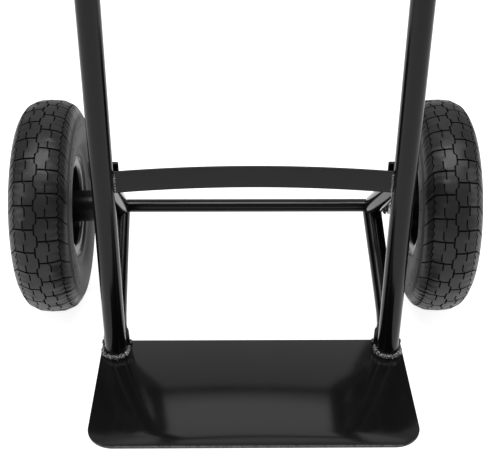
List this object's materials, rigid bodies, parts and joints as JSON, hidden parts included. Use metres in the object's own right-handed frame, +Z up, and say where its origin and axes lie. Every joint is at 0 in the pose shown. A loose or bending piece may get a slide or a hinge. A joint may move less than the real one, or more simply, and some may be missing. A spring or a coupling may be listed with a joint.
{
  "type": "hand truck",
  "caption": "Upright hand truck with a flat toe plate, tube frame with bowed crossbars, bent handles and pneumatic wheels on a fixed axle.",
  "frame": {"origin": "on the floor under the middle of the truck's outline", "axes": "+X along the axle, +Y to the rear towards the wheels and handles, +Z up"},
  "size_m": [0.539, 0.4166, 1.1269],
  "materials": {
    "black_paint": "black satin powder coat",
    "weld": "rough weld bead under black paint",
    "tyre_rubber": "black moulded rubber, satin",
    "tube_rubber": "black rubber",
    "grip_plastic": "black moulded plastic",
    "zinc": "zinc plated steel",
    "bearing_steel": "ground bearing steel",
    "valve_brass": "brass valve stem"
  },
  "bodies": {
    "frame": {"toe_plate": "black_paint", "lower_crossbar": "black_paint", "middle_crossbar": "black_paint", "upper_crossbar": "black_paint", "axle": "black_paint", "left_side_tube": "black_paint", "left_axle_brace": "black_paint", "left_grip": "grip_plastic", "left_split_pin": "zinc", "left_tube_weld": "weld", "left_axle_weld": "weld", "left_spacer": "zinc", "left_washer": "zinc", "left_inboard_bearing_inner_ring": "bearing_steel", "left_outboard_bearing_inner_ring": "bearing_steel", "right_side_tube": "black_paint", "right_axle_brace": "black_paint", "right_grip": "grip_plastic", "right_split_pin": "zinc", "right_tube_weld": "weld", "right_axle_weld": "weld", "right_spacer": "zinc", "right_washer": "zinc", "right_inboard_bearing_inner_ring": "bearing_steel", "right_outboard_bearing_inner_ring": "bearing_steel"},
    "left_wheel": {"left_tyre": "tyre_rubber", "left_inner_tube": "tube_rubber", "left_rim_outer_half": "black_paint", "left_rim_inner_half": "black_paint", "left_hub": "black_paint", "left_valve_stem": "valve_brass", "left_valve_cap": "grip_plastic", "left_inboard_bearing_outer_ring": "bearing_steel", "left_outboard_bearing_outer_ring": "bearing_steel", "left_inboard_bearing_balls": "bearing_steel", "left_outboard_bearing_balls": "bearing_steel", "left_inboard_bearing_seal": "tube_rubber", "left_outboard_bearing_seal": "tube_rubber", "left_rim_bolt_1": "zinc", "left_rim_bolt_2": "zinc", "left_rim_bolt_3": "zinc", "left_rim_bolt_4": "zinc"},
    "right_wheel": {"right_tyre": "tyre_rubber", "right_inner_tube": "tube_rubber", "right_rim_outer_half": "black_paint", "right_rim_inner_half": "black_paint", "right_hub": "black_paint", "right_valve_stem": "valve_brass", "right_valve_cap": "grip_plastic", "right_inboard_bearing_outer_ring": "bearing_steel", "right_outboard_bearing_outer_ring": "bearing_steel", "right_inboard_bearing_balls": "bearing_steel", "right_outboard_bearing_balls": "bearing_steel", "right_inboard_bearing_seal": "tube_rubber", "right_outboard_bearing_seal": "tube_rubber", "right_rim_bolt_1": "zinc", "right_rim_bolt_2": "zinc", "right_rim_bolt_3": "zinc", "right_rim_bolt_4": "zinc"}
  },
  "joints": [
    {"name": "left_wheel_spin", "type": "hinge", "parent": "frame", "child": "left_wheel", "pos_m": [-0.2342, 0.07825, 0.13], "axis": [1, 0, 0], "continuous": true},
    {"name": "right_wheel_spin", "type": "hinge", "parent": "frame", "child": "right_wheel", "pos_m": [0.2342, 0.07825, 0.13], "axis": [1, 0, 0], "continuous": true}
  ]
}
